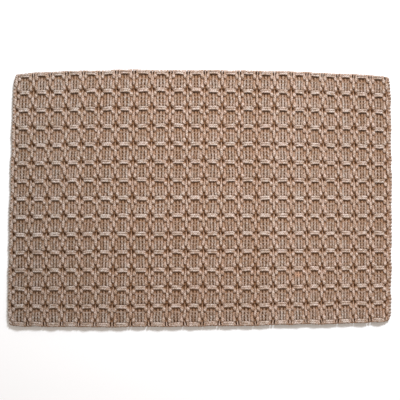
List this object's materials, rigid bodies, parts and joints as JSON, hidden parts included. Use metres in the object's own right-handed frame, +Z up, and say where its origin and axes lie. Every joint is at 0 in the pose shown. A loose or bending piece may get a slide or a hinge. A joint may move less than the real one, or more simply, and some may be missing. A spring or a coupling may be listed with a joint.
{
  "type": "door mat",
  "caption": "Rectangular flat-woven door mat with a raised honeycomb relief of bars and pillars around sunken ribbed panels, corded selvedges and taped hems.",
  "frame": {"origin": "centre of the underside, on the floor", "axes": "+X along the long side, +Y along the short side towards the back hem, +Z up out of the walking face"},
  "size_m": [0.914, 0.61, 0.011],
  "materials": {
    "ground_yarn": "matte, fibrous twisted yarn",
    "figure_yarn": "matte, fibrous twisted yarn",
    "edge_yarn": "matte, fibrous twisted yarn",
    "hem_tape": "matte twill tape",
    "sewing_thread": "matte spun thread"
  },
  "bodies": {
    "root": {"ground_cloth": "ground_yarn", "bar_weft_pair_01": "figure_yarn", "bar_weft_pair_02": "figure_yarn", "bar_weft_pair_03": "figure_yarn", "bar_weft_pair_04": "figure_yarn", "bar_weft_pair_05": "figure_yarn", "bar_weft_pair_06": "figure_yarn", "bar_weft_pair_07": "figure_yarn", "bar_weft_pair_08": "figure_yarn", "bar_weft_pair_09": "figure_yarn", "bar_weft_pair_10": "figure_yarn", "bar_weft_pair_11": "figure_yarn", "bar_weft_pair_12": "figure_yarn", "bar_weft_pair_13": "figure_yarn", "bar_weft_pair_14": "figure_yarn", "bar_weft_pair_15": "figure_yarn", "pillar_warp_01": "figure_yarn", "pillar_warp_02": "figure_yarn", "pillar_warp_03": "figure_yarn", "pillar_warp_04": "figure_yarn", "pillar_warp_05": "figure_yarn", "pillar_warp_06": "figure_yarn", "pillar_warp_07": "figure_yarn", "pillar_warp_08": "figure_yarn", "pillar_warp_09": "figure_yarn", "pillar_warp_10": "figure_yarn", "pillar_warp_11": "figure_yarn", "pillar_warp_12": "figure_yarn", "pillar_warp_13": "figure_yarn", "pillar_warp_14": "figure_yarn", "pillar_warp_15": "figure_yarn", "pillar_warp_16": "figure_yarn", "pillar_warp_17": "figure_yarn", "pillar_warp_18": "figure_yarn", "pillar_warp_19": "figure_yarn", "pillar_warp_20": "figure_yarn", "pillar_warp_21": "figure_yarn", "pillar_warp_22": "figure_yarn", "pillar_warp_23": "figure_yarn", "left_selvedge_cord": "edge_yarn", "right_selvedge_cord": "edge_yarn", "front_hem_tape": "hem_tape", "front_outer_stitches": "sewing_thread", "front_inner_stitches": "sewing_thread", "back_hem_tape": "hem_tape", "back_outer_stitches": "sewing_thread", "back_inner_stitches": "sewing_thread"}
  },
  "joints": []
}
